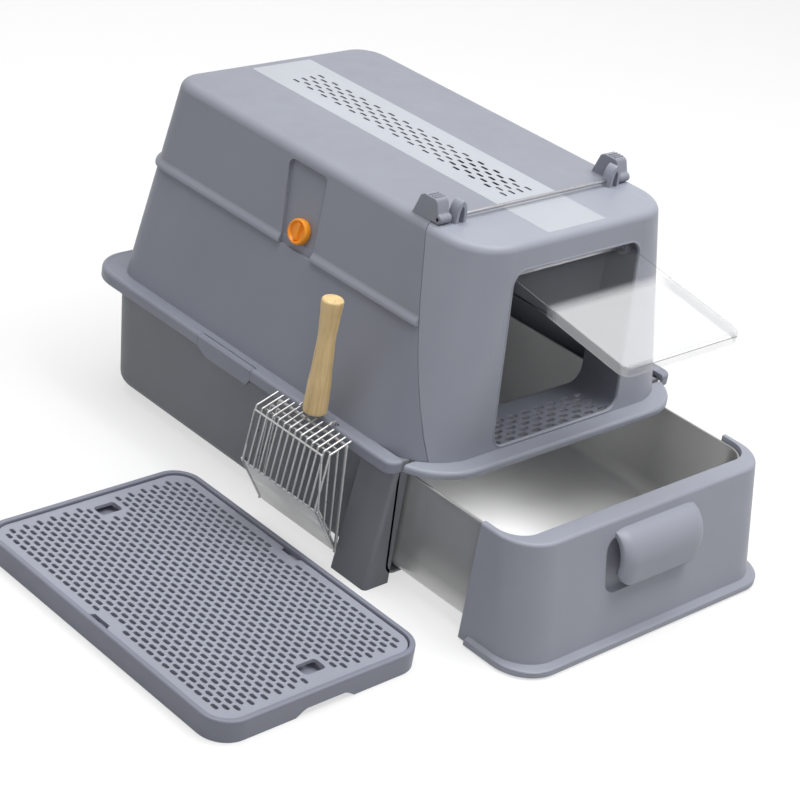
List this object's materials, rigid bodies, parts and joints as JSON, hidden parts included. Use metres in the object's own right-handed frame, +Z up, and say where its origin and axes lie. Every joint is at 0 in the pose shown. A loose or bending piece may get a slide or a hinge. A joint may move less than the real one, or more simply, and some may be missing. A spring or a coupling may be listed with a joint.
{
  "type": "drawer litter box",
  "caption": "Enclosed litter box with a lift-up vented lid, clear swing flap, pull-out steel litter drawer, hanging wire scoop and a separate slotted drip tray.",
  "frame": {"origin": "underside of the middle foot pad, on the floor under the middle of the side rim's length", "axes": "+Z up, -Y out of the entrance, +X to the viewer's right when the entrance is faced from outside"},
  "size_m": [0.7657, 0.7433, 0.414],
  "materials": {
    "base_plastic": "satin",
    "foot_rubber": "matte",
    "shell_plastic": "satin",
    "frame_plastic": "satin",
    "sleeve_plastic": "matte",
    "lid_plastic": "satin",
    "strip_plastic": "gloss",
    "rod_steel": "satin",
    "clear_plastic": "clear, lightly frosted",
    "knob_plastic": "gloss",
    "pan_steel": "polished",
    "front_plastic": "satin",
    "wire_steel": "polished",
    "bamboo": "oiled",
    "tray_plastic": "satin",
    "grate_plastic": "satin"
  },
  "bodies": {
    "base": {"base_tub": "base_plastic", "base_feet": "foot_rubber"},
    "enclosure": {"mid_shell": "shell_plastic", "front_frame": "frame_plastic", "front_strip": "strip_plastic", "entry_sleeve": "sleeve_plastic", "hinge_rod": "rod_steel", "flap_pin": "rod_steel"},
    "lid": {"lid_shell": "lid_plastic", "roof_strip": "strip_plastic"},
    "knob_left": {"lock_knob_left": "knob_plastic", "lock_cam_left": "sleeve_plastic"},
    "knob_right": {"lock_knob_right": "knob_plastic", "lock_cam_right": "sleeve_plastic"},
    "clip_left": {"side_clip_left": "shell_plastic"},
    "clip_right": {"side_clip_right": "shell_plastic"},
    "flap": {"flap_door": "clear_plastic"},
    "drawer": {"drawer_pan": "pan_steel", "drawer_front": "front_plastic"},
    "scoop": {"scoop_handle": "bamboo", "scoop_tang": "wire_steel", "scoop_frame": "wire_steel", "scoop_cross_wires": "wire_steel", "scoop_long_wires": "wire_steel", "scoop_plate": "wire_steel", "scoop_hooks": "wire_steel"},
    "tray": {"tray_base": "tray_plastic"},
    "grate": {"tray_grate": "grate_plastic"}
  },
  "joints": [
    {"name": "enclosure_lift", "type": "slide", "parent": "base", "child": "enclosure", "axis": [0, 0, 1], "range_m": [0, 0.25]},
    {"name": "lid_hinge", "type": "hinge", "parent": "enclosure", "child": "lid", "pos_m": [0, -0.174, 0.394], "axis": [1, 0, 0], "range_deg": [0, 88]},
    {"name": "knob_left_turn", "type": "hinge", "parent": "lid", "child": "knob_left", "pos_m": [-0.17326, -0.002, 0.3106], "axis": [-0.9715, 0, 0.237], "range_deg": [0, 90]},
    {"name": "knob_right_turn", "type": "hinge", "parent": "lid", "child": "knob_right", "pos_m": [0.17326, -0.002, 0.3106], "axis": [0.9715, 0, 0.237], "range_deg": [-90, 0]},
    {"name": "clip_left_hinge", "type": "hinge", "parent": "enclosure", "child": "clip_left", "pos_m": [-0.2212, 0.031, 0.1575], "axis": [0, 1, 0], "range_deg": [0, 80]},
    {"name": "clip_right_hinge", "type": "hinge", "parent": "enclosure", "child": "clip_right", "pos_m": [0.2212, 0.031, 0.1575], "axis": [0, -1, 0], "range_deg": [0, 80]},
    {"name": "flap_hinge", "type": "hinge", "parent": "enclosure", "child": "flap", "pos_m": [0, -0.228, 0.342], "axis": [1, 0, 0], "range_deg": [-10, 150]},
    {"name": "drawer_slide", "type": "slide", "parent": "base", "child": "drawer", "axis": [0, -1, 0], "range_m": [-0.115, 0.3]},
    {"name": "scoop_lift", "type": "slide", "parent": "enclosure", "child": "scoop", "axis": [0, 0, 1], "range_m": [0, 0.2]},
    {"name": "tray_away", "type": "slide", "parent": "base", "child": "tray", "axis": [-1, 0, 0], "range_m": [0, 0.25]},
    {"name": "grate_lift", "type": "slide", "parent": "tray", "child": "grate", "axis": [0, 0, 1], "range_m": [0, 0.15]}
  ]
}
